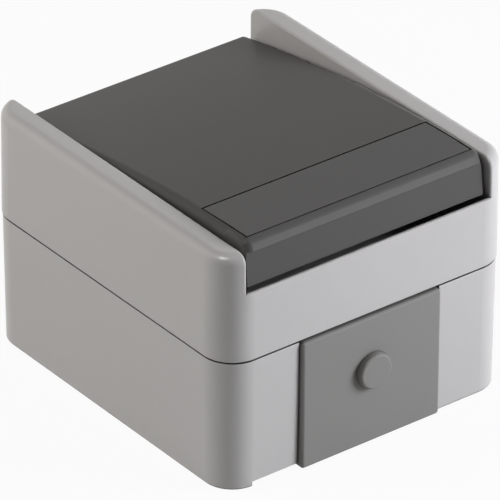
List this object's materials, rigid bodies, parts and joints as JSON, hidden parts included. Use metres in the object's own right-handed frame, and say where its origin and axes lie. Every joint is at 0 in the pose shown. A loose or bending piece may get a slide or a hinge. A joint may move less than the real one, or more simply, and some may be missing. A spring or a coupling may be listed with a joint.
{
  "type": "surface-mounted weatherproof rocker switch",
  "caption": "Surface-mounted outdoor rocker switch: grey box and cover with raised cheeks, a dark crowned rocker with a label window, and a soft cable entry below.",
  "frame": {"origin": "centre of the flat back face that lies on the wall", "axes": "+Z away from the wall, +X across the two cheeks, +Y up the wall, away from the cable entry"},
  "size_m": [0.066, 0.075, 0.0511],
  "materials": {
    "housing_plastic": "fine satin moulding",
    "rocker_plastic": "fine satin moulding",
    "label_plastic": "smooth satin",
    "entry_rubber": "soft matte",
    "seal_rubber": "soft matte",
    "mechanism_plastic": "matte",
    "cradle_plastic": "matte",
    "steel": "zinc plated",
    "brass": "plain pressed",
    "contact_silver": "bright"
  },
  "bodies": {
    "housing": {"base_box": "housing_plastic", "cable_membrane": "entry_rubber", "housing_seal": "seal_rubber", "cover_frame": "housing_plastic", "cover_screws": "steel", "mechanism_base": "mechanism_plastic", "carrier_plate": "steel", "bearing_frame": "mechanism_plastic", "mechanism_screws": "steel", "mechanism_rivets": "steel", "mechanism_seal": "seal_rubber", "common_terminal": "brass", "front_contact_strip": "brass", "rear_contact_strip": "brass", "fixed_contacts": "contact_silver", "terminal_cages": "brass", "terminal_screws": "steel"},
    "rocker": {"rocker": "rocker_plastic", "label_window": "label_plastic", "rocker_cradle": "cradle_plastic", "plunger_spring": "steel"},
    "plunger": {"plunger": "cradle_plastic"},
    "seesaw": {"contact_seesaw": "brass", "moving_contacts": "contact_silver"}
  },
  "joints": [
    {"name": "rocker_tilt", "type": "hinge", "parent": "housing", "child": "rocker", "pos_m": [0, 0, 0.0435], "axis": [1, 0, 0], "range_deg": [0, 11.6]},
    {"name": "plunger_slide", "type": "slide", "parent": "rocker", "child": "plunger", "axis": [0, 0.1011, 0.9949], "range_m": [0, 0.0008], "stiffness_N_per_m": 400, "springref_m": -0.002, "deforming": ["plunger_spring"]},
    {"name": "seesaw_tilt", "type": "hinge", "parent": "housing", "child": "seesaw", "pos_m": [0, 0, 0.0205], "axis": [1, 0, 0], "range_deg": [-10, 0]}
  ],
  "couplings": [
    {"joint": "seesaw_tilt", "follows": "rocker_tilt", "ratio": -0.86}
  ]
}
